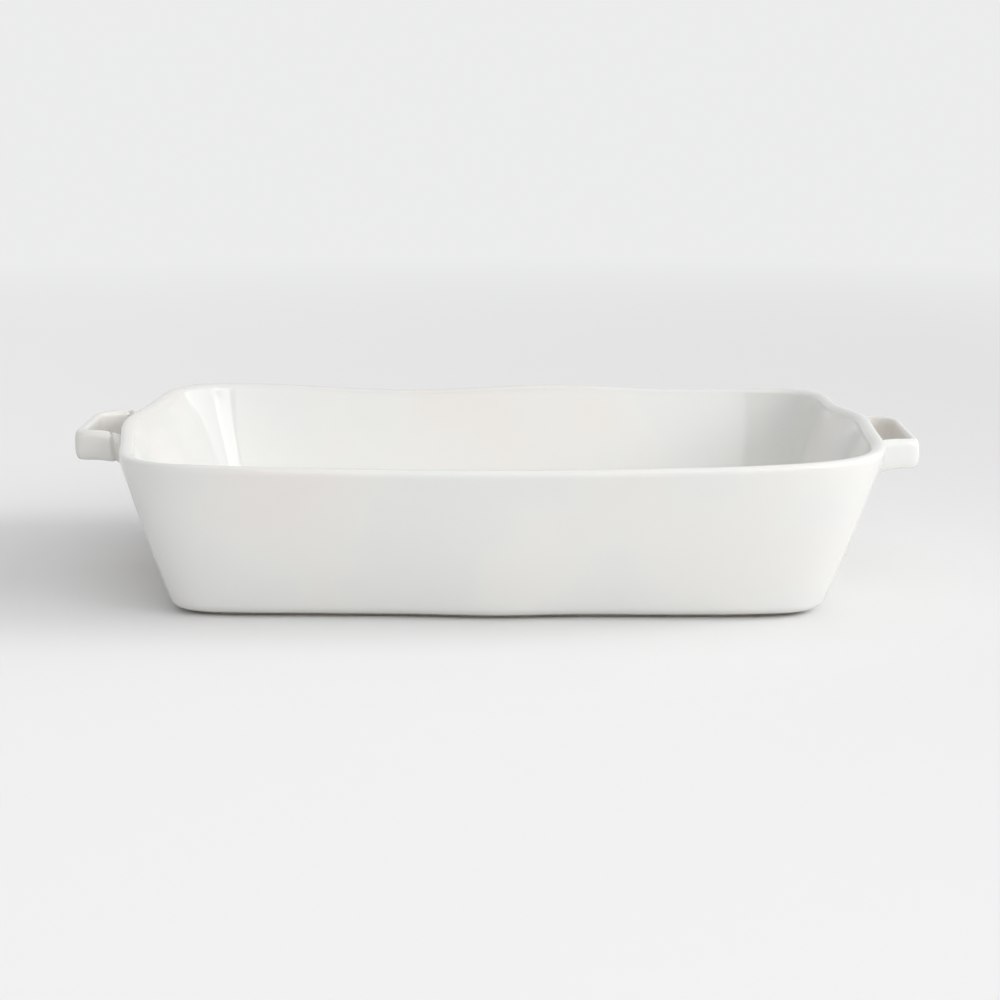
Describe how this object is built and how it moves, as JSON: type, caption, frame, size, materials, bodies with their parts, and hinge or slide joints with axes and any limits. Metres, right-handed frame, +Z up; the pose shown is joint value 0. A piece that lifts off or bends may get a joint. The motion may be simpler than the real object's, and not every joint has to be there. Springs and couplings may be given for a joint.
{
  "type": "lasagna dish",
  "caption": "Deep rectangular stoneware baking dish with tapered, softly wavy walls, a rounded lip, a strap handle on each short side and a low bare foot ring.",
  "frame": {"origin": "on the table, under the middle of the dish and its two handles", "axes": "+X along the length towards the right handle, +Y towards the back, +Z up"},
  "size_m": [0.4246, 0.252, 0.0804],
  "materials": {
    "white_glaze": "thick glossy warm-white glaze over stoneware",
    "bare_stoneware": "matt unglazed stoneware, wiped clean before firing"
  },
  "bodies": {
    "root": {"wall_band": "white_glaze", "floor_slab": "white_glaze", "foot_ring": "bare_stoneware", "left_handle_strap": "white_glaze", "right_handle_strap": "white_glaze", "left_front_pad": "white_glaze", "left_back_pad": "white_glaze", "right_front_pad": "white_glaze", "right_back_pad": "white_glaze"}
  },
  "joints": []
}
